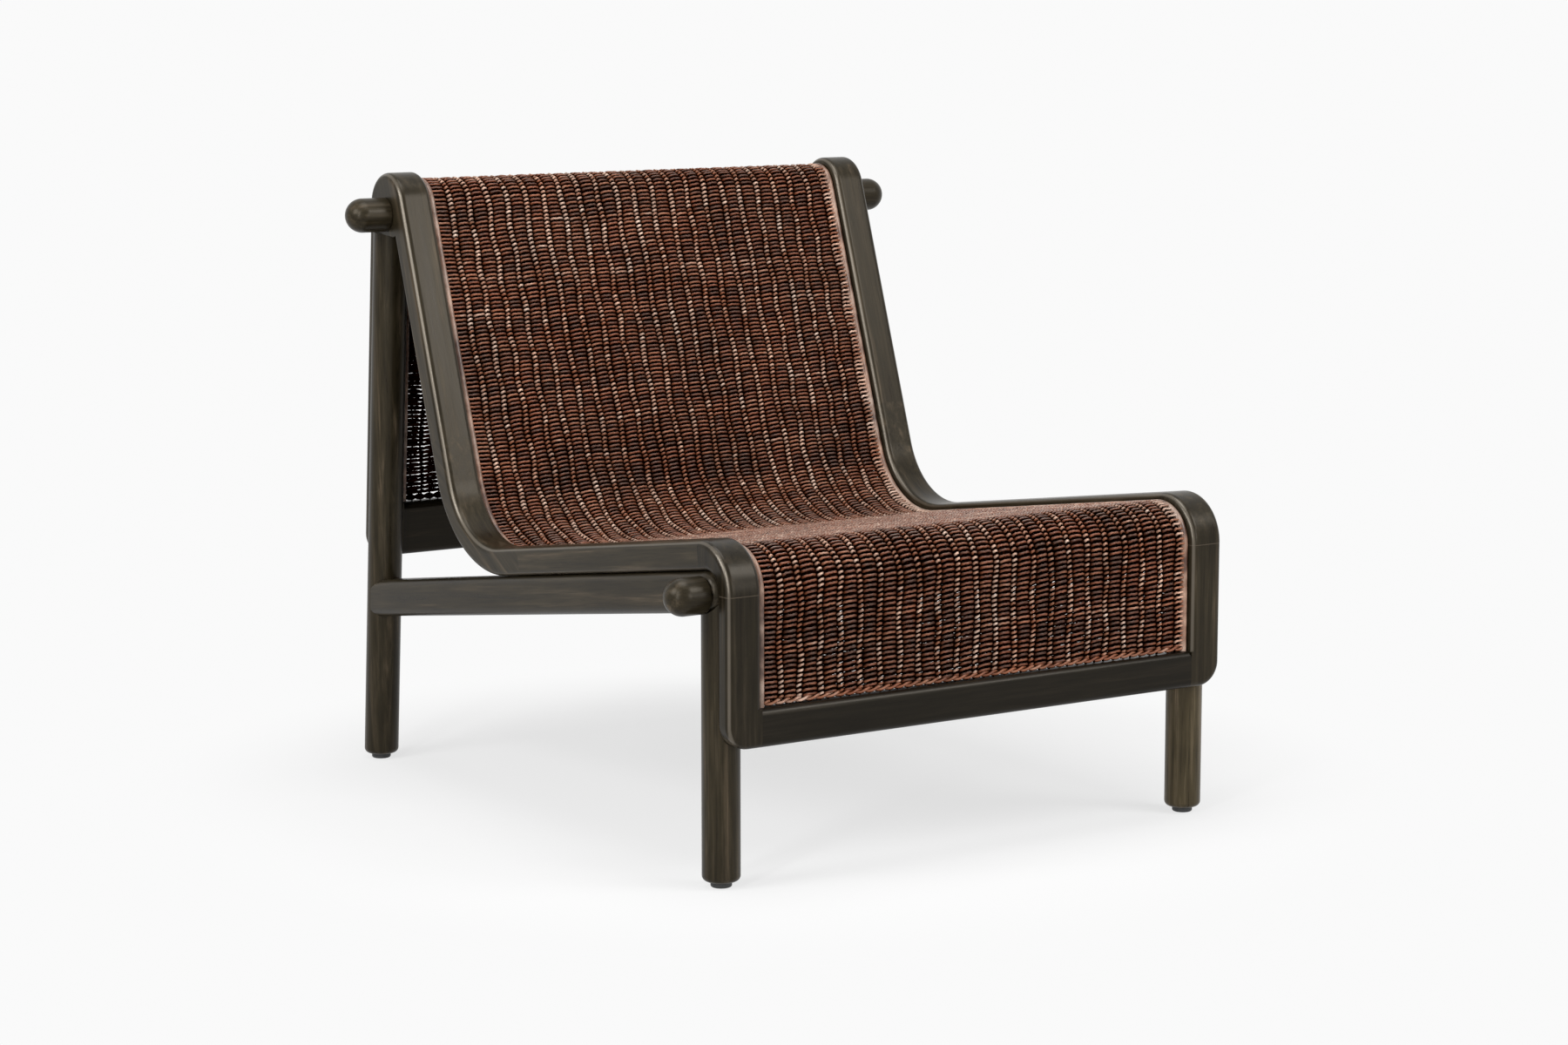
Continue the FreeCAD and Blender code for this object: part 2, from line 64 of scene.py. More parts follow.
# Weave: stakes run along the profile and pairs of strands twist round them. One strand of a pair
# covers every other stake in a long stitch, and its partner covers the rest in short ones,
# whose lighter shades are a painted highlight.
SEED = 7
STAKE_COUNT = 44
STAKE_DIAMETER = 0.003
STAKE_SIDES = 6
STAKE_STEP = 0.006
STAKE_SWAY = 0.0019
STAKE_SWAY_LENGTHS = (0.06, 0.15)
FRONT_ROW_PITCH = 0.0059
BACK_ROW_PITCH = 0.0054
ROWS_LEFT_FREE = 1.5
STRAND_DEPTH = 0.0024
STRAND_FRONT_HEIGHT = 0.0029
STRAND_BACK_HEIGHT = 0.0065
REAR_BACK_HEIGHT = 0.0051
STRAND_LIFT = 0.0013
STRAND_CROSSING_LIFT = 0.00085
REAR_CROSSING_LIFT = 0.0003
STRAND_SIDES = 6
STRAND_INTO_ROD = 0.0015
STEPS_PER_STAKE = 6
STITCH_SKEW = 0.75
SHORT_STITCH_PROUD = 0.0003
LONG_STITCH_SHADES = (0.07, 0.5)
# Painted highlight: the short stitches get lighter shades than the long ones
SHORT_STITCH_HIGHLIGHT_SHADES = (0.6, 0.76)
ROW_WANDER = 0.0003
DEPTH_WANDER = 0.00035
ROW_WAVE = 0.0012
ROW_WAVE_WIDTH = 0.17
ROW_WAVE_DRIFT = 23.0

# Zones of the weave: limits of the outward normal, and shares of the profile's length
FRONT_NORMAL_Y = -0.95
FRONT_NORMAL_Z = -0.3
REAR_NORMAL_Y = 0.5
FRONT_END_SHARE = 0.2
SEAT_END_SHARE = 0.45

# Borders at the two feet of the sling
BORDER_STRAND_DIAMETER = 0.0046
BORDER_RADIUS_SHARE = 0.42
BORDER_TWIST_STAKES = 2
BORDER_SIDES = 8
BORDER_SHADE = 0.5
BORDER_STEPS_PER_STAKE = 6

# Sockets that Blender's mix node uses for colours
MIX_SHARE = 0
MIX_FIRST = 6
MIX_SECOND = 7
MIX_RESULT = 2


def side_normal(way):
    """Unit vector in the side plane at right angles to a way: outward, along the sling's profile."""
    return Vector((0, -way.z, way.y)).normalized()


def side_outline(node):
    """Ordered (y, z) points round the flat left side of an extruded CAD node."""
    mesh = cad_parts[node].data
    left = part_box(node)[0].x
    uses = {}
    for face in mesh.polygons:
        points = [mesh.vertices[index].co for index in face.vertices]
        if max(abs(point.x - left) for point in points) > PLANE_TOLERANCE:
            continue
        corners = [(round(point.y, POINT_DIGITS), round(point.z, POINT_DIGITS)) for point in points]
        for start, end in zip(corners, corners[1:] + corners[:1]):
            edge = (min(start, end), max(start, end))
            uses[edge] = uses.get(edge, 0) + 1
    links = {}
    for (start, end), count in uses.items():
        if count == 1:
            links.setdefault(start, []).append(end)
            links.setdefault(end, []).append(start)
    first = min(links)
    loop = [first]
    before = None
    here = first
    while True:
        following = [point for point in links[here] if point != before]
        before = here
        here = following[0]
        if here == first:
            return loop
        loop.append(here)


def outer_profile(node):
    """Outer face of the sling, from its front foot over seat and back to its rear foot, and its thickness."""
    loop = side_outline(node)
    fronts = [(round(y, MATCH_DIGITS), z) for y, z in loop]
    front = fronts.index(min(fronts))
    loop = loop[front:] + loop[:front]
    if loop[1][1] <= loop[0][1] + PLANE_TOLERANCE:
        loop = loop[:1] + loop[:0:-1]
    foot_y, foot_z = loop[0]
    thickness = min(abs(y - foot_y) for y, z in loop[1:] if abs(z - foot_z) < LEVEL_TOLERANCE)
    rears = [(y - z * REAR_FOOT_LEAN, y) for y, z in loop]
    rear = rears.index(max(rears))
    return [Vector((0, y, z)) for y, z in loop[:rear + 1]], thickness


def resampled(points, step):
    """Points at equal steps along a polyline, and the polyline's length."""
    lengths = [0.0]
    for start, end in zip(points, points[1:]):
        lengths.append(lengths[-1] + (end - start).length)
    total = lengths[-1]
    count = round(total / step)
    spaced = []
    segment = 0
    for index in range(count + 1):
        target = total * index / count
        while segment < len(points) - 2 and lengths[segment + 1] < target:
            segment += 1
        span = lengths[segment + 1] - lengths[segment]
        share = (target - lengths[segment]) / span if span else 0
        spaced.append(points[segment].lerp(points[segment + 1], share))
    return spaced, total


class Path:
    """Middle line of the sling in the side plane, with its outward normal at each length along it."""

    def __init__(self, points, inset):
        outer = resampled(points, PATH_STEP)[0]
        middle = []
        for index, point in enumerate(outer):
            way = outer[min(index + NORMAL_SPAN, len(outer) - 1)] - outer[max(index - NORMAL_SPAN, 0)]
            middle.append(point - side_normal(way) * inset)
        self.points, self.length = resampled(middle, PATH_STEP)
        self.last = len(self.points) - 1
        self.step = self.length / self.last

    def at(self, length):
        """Point and outward normal at a length along the path."""
        place = min(max(length / self.step, 0), self.last - PATH_END_MARGIN)
        index = int(place)
        point = self.points[index].lerp(self.points[index + 1], place - index)
        ahead = self.points[min(index + 1 + NORMAL_SPAN, self.last)]
        behind = self.points[max(index - NORMAL_SPAN, 0)]
        return point, side_normal(ahead - behind)


class Tubes:
    """Mesh of many strands. Attributes hold each strand's shade and how far each point reaches outward."""

    def __init__(self, sides):
        self.sides = sides
        self.vertices = []
        self.faces = []
        self.shades = []
        self.reaches = []

    def add(self, points, outwards, depth, heights, shade, swings):
        """One closed oval tube along points: depth is measured along the outward normals.
        Swings say how far each point stands out of the sling's middle."""
        full = max(map(abs, swings)) + depth / 2
        base = len(self.vertices)
        last = len(points) - 1
        for index, point in enumerate(points):
            way = (points[min(index + 1, last)] - points[max(index - 1, 0)]).normalized()
            across = way.cross(outwards[index]).normalized()
            outward = across.cross(way)
            for side in range(self.sides):
                turn = 2 * math.pi * (side + 0.5) / self.sides
                stand = depth / 2 * math.cos(turn)
                spread = heights[index] / 2 * math.sin(turn)
                self.vertices.append(point + outward * stand + across * spread)
                self.shades.append(shade)
                self.reaches.append(0.5 + 0.5 * (swings[index] + stand) / full)
        for index in range(last):
            ring = base + index * self.sides
            for side in range(self.sides):
                here = ring + side
                beside = ring + (side + 1) % self.sides
                self.faces.append((here, here + self.sides, beside + self.sides, beside))
        end = base + last * self.sides
        self.faces.append(tuple(base + side for side in range(self.sides)))
        self.faces.append(tuple(end + side for side in reversed(range(self.sides))))

    def build(self, name, material, slot, *nodes):
        """Make the mesh a piece of the scene that stands in for CAD nodes."""
        mesh = bpy.data.meshes.new(name)
        mesh.from_pydata([tuple(vertex) for vertex in self.vertices], [], self.faces)
        mesh.shade_smooth()
        for label, values in (("shade", self.shades), ("reach", self.reaches)):
            mesh.attributes.new(label, "FLOAT", "POINT").data.foreach_set("value", values)
        mesh.materials.append(material)
        piece = bpy.data.objects.new(name, mesh)
        bpy.context.collection.objects.link(piece)
        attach(piece, "root")
        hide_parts(*nodes)


class Nodes:
    """Short way to write a material's nodes. Its place is the point on the object that is being shaded."""

    def __init__(self, name):
        self.material = bpy.data.materials.new(name)
        self.material.use_nodes = True
        self.tree = self.material.node_tree
        self.shader = self.tree.nodes["Principled BSDF"]
        self.place = self.add("TexCoord").outputs["Object"]

    def add(self, kind, **inputs):
        """New node. In the names of its inputs an underscore stands for a space."""
        node = self.tree.nodes.new("ShaderNode" + kind)
        for key, value in inputs.items():
            self.set(node, key.replace("_", " "), value)
        return node

    def set(self, node, key, value):
        """Link a socket to an input, or give the input a plain value."""
        if isinstance(value, bpy.types.NodeSocket):
            self.tree.links.new(value, node.inputs[key])
        else:
            node.inputs[key].default_value = value

    def noise(self, place, settings):
        """Noise at a place, with the noise node's own settings."""
        return self.add("TexNoise", Vector=place, **settings).outputs["Fac"]

    def attribute(self, name):
        """Mesh attribute that the tubes carry."""
        node = self.add("Attribute")
        node.attribute_name = name
        return node.outputs["Fac"]

    def normal(self, axis):
        """One part of the surface's normal."""
        normal = self.add("NewGeometry").outputs["Normal"]
        return self.add("SeparateXYZ", Vector=normal).outputs[axis]

    def ramp(self, value, *stops):
        """Colour looked up by a value between stops, each of them a (value, colour) pair."""
        node = self.add("ValToRGB", Fac=value)
        ramp = node.color_ramp
        while len(ramp.elements) < len(stops):
            ramp.elements.new(0.5)
        for element, (place, colour) in zip(ramp.elements, stops):
            element.position = place
            element.color = (*colour[:3], 1)
        return node.outputs["Color"]

    def levels(self, value, *stops):
        """Grey level looked up by a value between stops, each of them a (value, level) pair."""
        return self.ramp(value, *((place, grey(level)) for place, level in stops))

    def mix(self, kind, share, first, second):
        """Two colours blended, by the blend's name on the mix node."""
        node = self.add("Mix")
        node.data_type = "RGBA"
        node.blend_type = kind
        self.set(node, MIX_SHARE, share)
        self.set(node, MIX_FIRST, first)
        self.set(node, MIX_SECOND, second)
        return node.outputs[MIX_RESULT]

    def math(self, kind, first, second):
        """Result of an operation on two numbers, by its name on the math node."""
        node = self.add("Math")
        node.operation = kind
        self.set(node, 0, first)
        self.set(node, 1, second)
        return node.outputs[0]

    def vector_math(self, kind, first, second, output):
        """Result of an operation on two vectors, by its name on the vector math node."""
        node = self.add("VectorMath")
        node.operation = kind
        self.set(node, 0, first)
        self.set(node, 1, second)
        return node.outputs[output]

    def bump(self, height, settings):
        """Give the surface a fine relief, with the bump node's own settings."""
        relief = self.add("Bump", Height=height, **settings)
        self.set(self.shader, "Normal", relief.outputs["Normal"])


def grey(value):
    """Opaque grey of a level."""
    return (value, value, value, 1)


# Wood
WOOD_TONES = ((0.3, (0.0105, 0.0078, 0.0042)), (0.5, (0.02, 0.0155, 0.0083)),
              (0.6, (0.034, 0.026, 0.0155)), (0.74, (0.085, 0.062, 0.04)))
WOOD_PATCH_LEVELS = ((0.3, 0.72), (0.7, 1.15))
WOOD_PATCH_NOISE = {"Scale": 9.0, "Detail": 3.0, "Roughness": 0.5}
WOOD_ROUGHNESS = ((0.3, 0.26), (0.75, 0.38))
WOOD_SHINE = 0.19
WOOD_SHINE_TINT = (1, 0.9, 0.76, 1)
WOOD_BUMP = {"Strength": 0.12, "Distance": 0.0008}
GRAIN_STRETCH = (1, 1, 0.045)
STREAK_NOISE = {"Scale": 95.0, "Detail": 6.0, "Roughness": 0.62, "Distortion": 0.35}
FINE_NOISE = {"Scale": 420.0, "Detail": 4.0, "Roughness": 0.6}
FINE_RELIEF_SHARE = 0.5
PORE_LEVELS = ((0.36, 0.55), (0.5, 1.0))
PORE_SHARE = 0.8
WORN_WOOD = (0.075, 0.062, 0.046, 1)
WORN_SHINE = 0.8
WORN_EDGE_TURN = ((0.16, 0), (0.24, 1))
GLUE_LINE = (0.07, 0.055, 0.04, 1)
GLUE_LINE_HALF_WIDTH = 0.0004

# Ways of the grain: turns about each axis that bring a piece's long way onto Z
SEAT_SLOPE = 8.7
BACK_RAKE = 18.8
UPRIGHT = (0, 0, 0)
ALONG_X = (0, 90, 0)
ALONG_SEAT = (90 + SEAT_SLOPE, 0, 0)
ALONG_BACK = (BACK_RAKE, 0, 0)
ALONG_BEND = ((90 + SEAT_SLOPE + BACK_RAKE) / 2, 0, 0)

# Cane
STRAND_TONES = ((0.34, (0.05, 0.0165, 0.0075)), (0.44, (0.13, 0.039, 0.0165)),
                (0.53, (0.205, 0.08, 0.041)), (0.66, (0.62, 0.435, 0.335)))
EDGE_TONES = ((0.26, (0.07, 0.033, 0.021)), (0.32, (0.24, 0.14, 0.097)), (0.4, (0.46, 0.315, 0.24)))
SHADE_SHARE = 0.35
PATCH_SHARE = 0.3
OWN_SHARE = 0.35
SHADE_SPREAD = 60.0
CANE_PATCH_NOISE = {"Scale": 12.0, "Detail": 3.0, "Roughness": 0.55}
OWN_NOISE = {"Scale": 45.0, "Detail": 2.0}
FIBRE_NOISE = {"Scale": 700.0, "Detail": 2.0, "Roughness": 0.5}
FIBRE_LEVELS = ((0.3, 0.75), (0.65, 1.1))
HUE_NOISE = {"Scale": 17.0, "Detail": 2.0, "Roughness": 0.5}
HUE_TINTS = ((0.36, (0.88, 0.95, 1)), (0.64, (1.06, 0.97, 0.92)))
# Painted sheen: woven cane that faces up is greyed towards this colour
PAINTED_SHEEN_CANE = (0.235, 0.174, 0.145, 1)
PAINTED_SHEEN_FACING_UP = ((0.86, 0), (0.97, 0.8))
# Painted shade and light on woven cane: near black deep in the weave, lighter than its own colour where it
# stands furthest out
WEAVE_PAINTED_SHADE_AND_LIGHT = ((0.69, (0.022, 0.0065, 0.0022)), (0.95, grey(1.52)))
WEAVE_SHINE = ((0.8, 0), (0.97, 0.33))
CANE_ROUGHNESS = ((0.3, 0.3), (0.7, 0.46))
CANE_BUMP = {"Strength": 0.15, "Distance": 0.0003}

# Speckled materials: where their two tones lie on their noise
SPECKLE_STOPS = (0.3, 0.7)


def seam(first, second):
    """Plane in which two CAD nodes meet: a point on it and its normal, which lies in the side plane."""
    corners = []
    for node in (first, second):
        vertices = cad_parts[node].data.vertices
        corners.append({tuple(round(part, MATCH_DIGITS) for part in vertex.co) for vertex in vertices})
    shared = [Vector((0, y, z)) for x, y, z in sorted(corners[0] & corners[1])]
    ways = [end - start for start in shared for end in shared]
    return shared[0], side_normal(max(ways, key=lambda way: way.length))


def rounded_edge(nodes):
    """How far a rail's surface belongs to its rounded edge, between its side and its face."""
    sideways = nodes.normal("X")
    square = nodes.math("MULTIPLY", sideways, sideways)
    turn = nodes.math("MULTIPLY", square, nodes.math("SUBTRACT", 1.0, square))
    return nodes.levels(turn, *WORN_EDGE_TURN)


def stained_wood(name, grain_turn, stain_and_painted_light=1.0, worn=False, seams=()):
    """Dark stained wood whose grain runs along Z once it is turned by an angle about each axis.
    Its stain level scales its lightness, which paints in the light and shade that falls on the piece.
    A worn rail is rubbed lighter and glossier along its rounded edges, and a glue line shows at its seams."""
    nodes = Nodes(name)
    turned = nodes.add("Mapping", Vector=nodes.place, Rotation=[math.radians(angle) for angle in grain_turn])
    grain = nodes.add("Mapping", Vector=turned.outputs["Vector"], Scale=GRAIN_STRETCH).outputs["Vector"]
    streak = nodes.noise(grain, STREAK_NOISE)
    fine = nodes.noise(grain, FINE_NOISE)
    patch = nodes.noise(nodes.place, WOOD_PATCH_NOISE)
    # Painted light and shade: the stain level scales the lightness of the whole piece
    tone = nodes.levels(patch, *((place, level * stain_and_painted_light) for place, level in WOOD_PATCH_LEVELS))
    grained = nodes.mix("MULTIPLY", 1.0, nodes.ramp(streak, *WOOD_TONES), tone)
    colour = nodes.mix("MULTIPLY", PORE_SHARE, grained, nodes.levels(fine, *PORE_LEVELS))
    shine = WOOD_SHINE
    if worn:
        edge = rounded_edge(nodes)
        colour = nodes.mix("MIX", nodes.math("MULTIPLY", edge, patch), colour, WORN_WOOD)
        shine = nodes.levels(edge, (0, WOOD_SHINE), (1, WORN_SHINE))
    for point, way in seams:
        offset = nodes.vector_math("SUBTRACT", nodes.place, point, "Vector")
        apart = nodes.math("ABSOLUTE", nodes.vector_math("DOT_PRODUCT", offset, way, "Value"), 0)
        line = nodes.math("LESS_THAN", apart, GLUE_LINE_HALF_WIDTH)
        colour = nodes.mix("MIX", line, colour, GLUE_LINE)
    nodes.set(nodes.shader, "Base Color", colour)
    nodes.set(nodes.shader, "Roughness", nodes.levels(streak, *WOOD_ROUGHNESS))
    nodes.set(nodes.shader, "Specular IOR Level", shine)
    nodes.set(nodes.shader, "Specular Tint", WOOD_SHINE_TINT)
    nodes.bump(nodes.math("ADD", streak, nodes.math("MULTIPLY", fine, FINE_RELIEF_SHARE)), WOOD_BUMP)
    return nodes.material


def wicker(name, tones, woven):
    """Stained cane: each strand has its own shade, and its stained colour is uneven along it.
    Woven cane gets a painted sheen where it faces up, painted shade deep in the weave
    and painted light where it stands furthest out."""
    nodes = Nodes(name)
    shade = nodes.attribute("shade")
    patch = nodes.noise(nodes.place, CANE_PATCH_NOISE)
    fibre = nodes.noise(nodes.place, FIBRE_NOISE)
    hue = nodes.noise(nodes.place, HUE_NOISE)
    own_noise = nodes.add("TexNoise", Vector=nodes.place, **OWN_NOISE)
    own_noise.noise_dimensions = "4D"
    nodes.set(own_noise, "W", nodes.math("MULTIPLY", shade, SHADE_SPREAD))
    own = own_noise.outputs["Fac"]
    own_part = nodes.math("MULTIPLY", own, OWN_SHARE)
    uneven = nodes.math("ADD", nodes.math("MULTIPLY", patch, PATCH_SHARE), own_part)
    tone = nodes.math("ADD", nodes.math("MULTIPLY", shade, SHADE_SHARE), uneven)
    colour = nodes.mix("MULTIPLY", 1.0, nodes.ramp(tone, *tones), nodes.levels(fibre, *FIBRE_LEVELS))
    colour = nodes.mix("MULTIPLY", 1.0, colour, nodes.ramp(hue, *HUE_TINTS))
    if woven:
        # Painted sheen on the woven cane that faces up
        colour = nodes.mix("MIX", nodes.levels(nodes.normal("Z"), *PAINTED_SHEEN_FACING_UP), colour, PAINTED_SHEEN_CANE)
        # Painted shade in the depth of the weave, and painted light where the cane stands furthest out
        reach = nodes.attribute("reach")
        colour = nodes.mix("MULTIPLY", 1.0, colour, nodes.ramp(reach, *WEAVE_PAINTED_SHADE_AND_LIGHT))
        nodes.set(nodes.shader, "Specular IOR Level", nodes.levels(reach, *WEAVE_SHINE))
    nodes.set(nodes.shader, "Base Color", colour)
    nodes.set(nodes.shader, "Roughness", nodes.levels(own, *CANE_ROUGHNESS))
    nodes.bump(fibre, CANE_BUMP)
    return nodes.material


def speckled(name, scale, detail, colours, roughness, metallic=0.0):
    """Material whose colour and roughness lie between two values each, by one fine noise."""
    nodes = Nodes(name)
    speckle = nodes.noise(nodes.place, {"Scale": scale, "Detail": detail})
    nodes.set(nodes.shader, "Base Color", nodes.ramp(speckle, *zip(SPECKLE_STOPS, colours)))
    nodes.set(nodes.shader, "Roughness", nodes.levels(speckle, *zip(SPECKLE_STOPS, roughness)))
    nodes.set(nodes.shader, "Metallic", metallic)
    return nodes.material


def paint(material, *names):
    """Give a material to the CAD nodes whose names start with one of these."""
    for node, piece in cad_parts.items():
        if node.startswith(names):
            piece.data.materials.clear()
            piece.data.materials.append(material)


# Wood: the grain runs the long way of each piece. Each piece's stain level sets its lightness and paints in
# the light and shade on it: the right front leg much lighter, the bottom rails and front left pieces darker.
front_seam = seam("front_drop_right", "front_bend_right")
paint(stained_wood("wood_upright", UPRIGHT, stain_and_painted_light=1.05), "front_leg_left", "rear_leg", "rear_drop")
# Painted light: the right front leg is painted much lighter, as though lit
paint(stained_wood("wood_painted_light_leg", UPRIGHT, stain_and_painted_light=3.4), "front_leg_right")
# Painted shade: the front left pieces are painted darker
paint(stained_wood("wood_front_left", UPRIGHT, stain_and_painted_light=0.65, worn=True, seams=(front_seam,)),
      "front_drop_left", "front_bend_left")
paint(stained_wood("wood_front_right", UPRIGHT, stain_and_painted_light=1.0, worn=True, seams=(front_seam,)),
      "front_drop_right", "front_bend_right")
# Painted shade: the bottom rails are painted darker
paint(stained_wood("wood_bottom", ALONG_X, stain_and_painted_light=0.25), "front_bottom", "rear_bottom")
paint(stained_wood("wood_bars", ALONG_X, stain_and_painted_light=1.2), "front_cross", "top_cross", "front_knob", "top_knob")
paint(stained_wood("wood_stretcher", ALONG_SEAT), "stretcher")
paint(stained_wood("wood_seat", ALONG_SEAT, stain_and_painted_light=1.1, worn=True), "seat_rail")
paint(stained_wood("wood_back", ALONG_BACK, worn=True), "back_rail", "top_bend")
paint(stained_wood("wood_seat_bend", ALONG_BEND, worn=True), "seat_bend")

# Glides, and the dowels and pins inside. The stretchers' dowels were painted with the stretchers above.
paint(speckled("glide_plastic", scale=900.0, detail=2.0, colours=(grey(0.018), grey(0.034)),
               roughness=(0.5, 0.62)),
      "front_glide", "rear_glide")
paint(speckled("dowel_wood", scale=160.0, detail=4.0, colours=((0.4, 0.27, 0.15), (0.55, 0.4, 0.25)),
               roughness=(0.6, 0.75)),
      "rail_dowels", "bottom_rail_dowels", "stretcher_dowels", "leg_dowels", "lap_dowels")
paint(speckled("pin_steel", scale=500.0, detail=3.0, colours=(grey(0.42), grey(0.55)), roughness=(0.3, 0.42),
               metallic=1.0),
      "edge_pins", "glide_pins")

# Woven sling
strand_material = wicker("woven_strand", STRAND_TONES, woven=True)
paint(wicker("edge_binding", EDGE_TONES, woven=False), "edge_rod")
profile, sling_thickness = outer_profile("woven_sling")
path = Path(profile, sling_thickness / 2)
half_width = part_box("woven_sling")[1].x
strand_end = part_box("edge_rod_right")[0].x + STRAND_INTO_ROD
stake_pitch = 2 * half_width / STAKE_COUNT
strand_swing = (STAKE_DIAMETER + STRAND_DEPTH) / 2
chance = random.Random(SEED)

# Each stake sways to and fro along its own length
sways = [(chance.uniform(*STAKE_SWAY_LENGTHS), chance.uniform(0, 2 * math.pi)) for _ in range(STAKE_COUNT)]


def stake_sway(stake, length):
    """How far the weave stands aside at a stake, or between two, at a length along the path."""
    lower = min(int(stake), STAKE_COUNT - 2)
    asides = []
    for wave, phase in sways[lower:lower + 2]:
        asides.append(STAKE_SWAY * math.sin(2 * math.pi * length / wave + phase))
    return asides[0] + (asides[1] - asides[0]) * (stake - lower)


def weave_strand(tubes, length, form, phase, proud, shades):
    """One strand of a row, which passes before and behind the stakes in turn.
    Its form says how far it lifts where it crosses its partner, and how high it is behind the stakes."""
    crossing_lift, back_height = form
    swing = strand_swing + proud + chance.uniform(-DEPTH_WANDER, DEPTH_WANDER)
    drift = chance.uniform(-ROW_WANDER, ROW_WANDER)
    points = []
    outwards = []
    heights = []
    swings = []
    for step in range(STAKE_COUNT * STEPS_PER_STAKE + 1):
        stake = min(max(step / STEPS_PER_STAKE - 0.5, 0), STAKE_COUNT - 1)
        turn = math.pi * stake
        twist = turn - STITCH_SKEW * math.sin(turn) + phase
        front = math.cos(twist)
        wander = drift + chance.uniform(-ROW_WANDER, ROW_WANDER)
        lift = STRAND_LIFT * front + crossing_lift * math.sin(twist)
        x = -half_width + step * stake_pitch / STEPS_PER_STAKE + stake_sway(stake, length)
        wave = ROW_WAVE * math.sin(2 * math.pi * x / ROW_WAVE_WIDTH + ROW_WAVE_DRIFT * length)
        point, outward = path.at(length + wander + lift + wave)
        depth = (swing + chance.uniform(-DEPTH_WANDER, DEPTH_WANDER)) * front
        points.append(Vector((x, 0, 0)) + point + outward * depth)
        outwards.append(outward)
        heights.append(STRAND_FRONT_HEIGHT + (back_height - STRAND_FRONT_HEIGHT) * (1 - front) / 2)
        swings.append(depth)
    points[0].x = -strand_end
    points[-1].x = strand_end
    tubes.add(points, outwards, STRAND_DEPTH, heights, chance.uniform(*shades), swings)


def zone_at(length):
    """Name of the stretch of weave at a length along the path."""
    outward = path.at(length)[1]
    forward = outward.y < FRONT_NORMAL_Y and outward.z > FRONT_NORMAL_Z
    if forward and length < path.length * FRONT_END_SHARE:
        return "weave_front"
    if length < path.length * SEAT_END_SHARE:
        return "weave_seat"
    if outward.y > REAR_NORMAL_Y:
        return "weave_rear"
    return "weave_back"


# Rows of paired strands, from the front foot to the rear one. Behind the back they are more open.
zones = {}
length = BACK_ROW_PITCH * ROWS_LEFT_FREE
while length < path.length - BACK_ROW_PITCH * ROWS_LEFT_FREE:
    zone = zone_at(length)
    tubes = zones.setdefault(zone, Tubes(STRAND_SIDES))
    rear = zone == "weave_rear"
    form = (REAR_CROSSING_LIFT, REAR_BACK_HEIGHT) if rear else (STRAND_CROSSING_LIFT, STRAND_BACK_HEIGHT)
    weave_strand(tubes, length, form, phase=0, proud=0, shades=LONG_STITCH_SHADES)
    weave_strand(tubes, length, form, phase=math.pi, proud=SHORT_STITCH_PROUD, shades=SHORT_STITCH_HIGHLIGHT_SHADES)
    length += FRONT_ROW_PITCH if zone in ("weave_front", "weave_seat") else BACK_ROW_PITCH
for zone, tubes in zones.items():
    tubes.build(zone, strand_material, "woven_strand", "woven_sling")

stakes = Tubes(STAKE_SIDES)
stake_steps = round(path.length / STAKE_STEP)
for index in range(STAKE_COUNT):
    x = -half_width + (index + 0.5) * stake_pitch
    points = []
    outwards = []
    for step in range(stake_steps + 1):
        length = path.length * step / stake_steps
        point, outward = path.at(length)
        points.append(Vector((x + stake_sway(index, length), 0, 0)) + point)
        outwards.append(outward)
    heights = [STAKE_DIAMETER] * len(points)
    # Painted shade: the stakes count as lying deep in the weave, so the painted depth shade darkens them
    swings = [-STAKE_DIAMETER / 2] * len(points)
    stakes.add(points, outwards, STAKE_DIAMETER, heights, chance.random(), swings)
stakes.build("weave_stakes", strand_material, "woven_strand", "woven_sling")


def border(name, length):
    """Rope-like border of two twisted strands along one foot of the sling."""
    tubes = Tubes(BORDER_SIDES)
    steps = STAKE_COUNT * BORDER_STEPS_PER_STAKE
    radius = BORDER_STRAND_DIAMETER * BORDER_RADIUS_SHARE
    for phase in (0, math.pi):
        points = []
        outwards = []
        for step in range(steps + 1):
            share = step / steps
            turn = 2 * math.pi * share * STAKE_COUNT / BORDER_TWIST_STAKES + phase
            point, outward = path.at(length + radius * math.sin(turn))
            x = -strand_end + 2 * strand_end * share
            points.append(Vector((x, 0, 0)) + point + outward * (radius * math.cos(turn)))
            outwards.append(outward)
        heights = [BORDER_STRAND_DIAMETER] * len(points)
        # Painted shade and light: with no swing, each border strand is painted dark at its back and light at
        # its front
        tubes.add(points, outwards, BORDER_STRAND_DIAMETER, heights, BORDER_SHADE, [0] * len(points))
    tubes.build(name, strand_material, "woven_strand", "woven_sling")


border("front_border", BORDER_STRAND_DIAMETER)
border("rear_border", path.length - BORDER_STRAND_DIAMETER)

# Floor, backdrop and light
FLOOR_SIZE = 40.0
FLOOR_NEAR_SHARE = 0.73
FLOOR_CLEAR_RADIUS = 0.48
FLOOR_FADE_RADIUS = 0.85
FLOOR_ROUGHNESS = 0.9
FLOOR_SHINE = 0.1
DUST_NOISE = {"Scale": 3.0}
DUST_LEVELS = ((0.3, 0.86), (0.7, 0.88))
BACKGROUND = 0.955
WORLD_STRENGTH = 0.12
LIGHT_TARGET = Vector((0, 0, 0.4))


def background_rays(tree):
    """Rays that meet the white background: those of the camera, and those that gloss or glass sends on."""
    rays = tree.nodes.new("ShaderNodeLightPath")
    seen = rays.outputs["Is Camera Ray"]
    for kind in ("Is Glossy Ray", "Is Transmission Ray"):
        either = tree.nodes.new("ShaderNodeMath")
        either.operation = "MAXIMUM"
        tree.links.new(seen, either.inputs[0])
        tree.links.new(rays.outputs[kind], either.inputs[1])
        seen = either.outputs[0]
    return seen


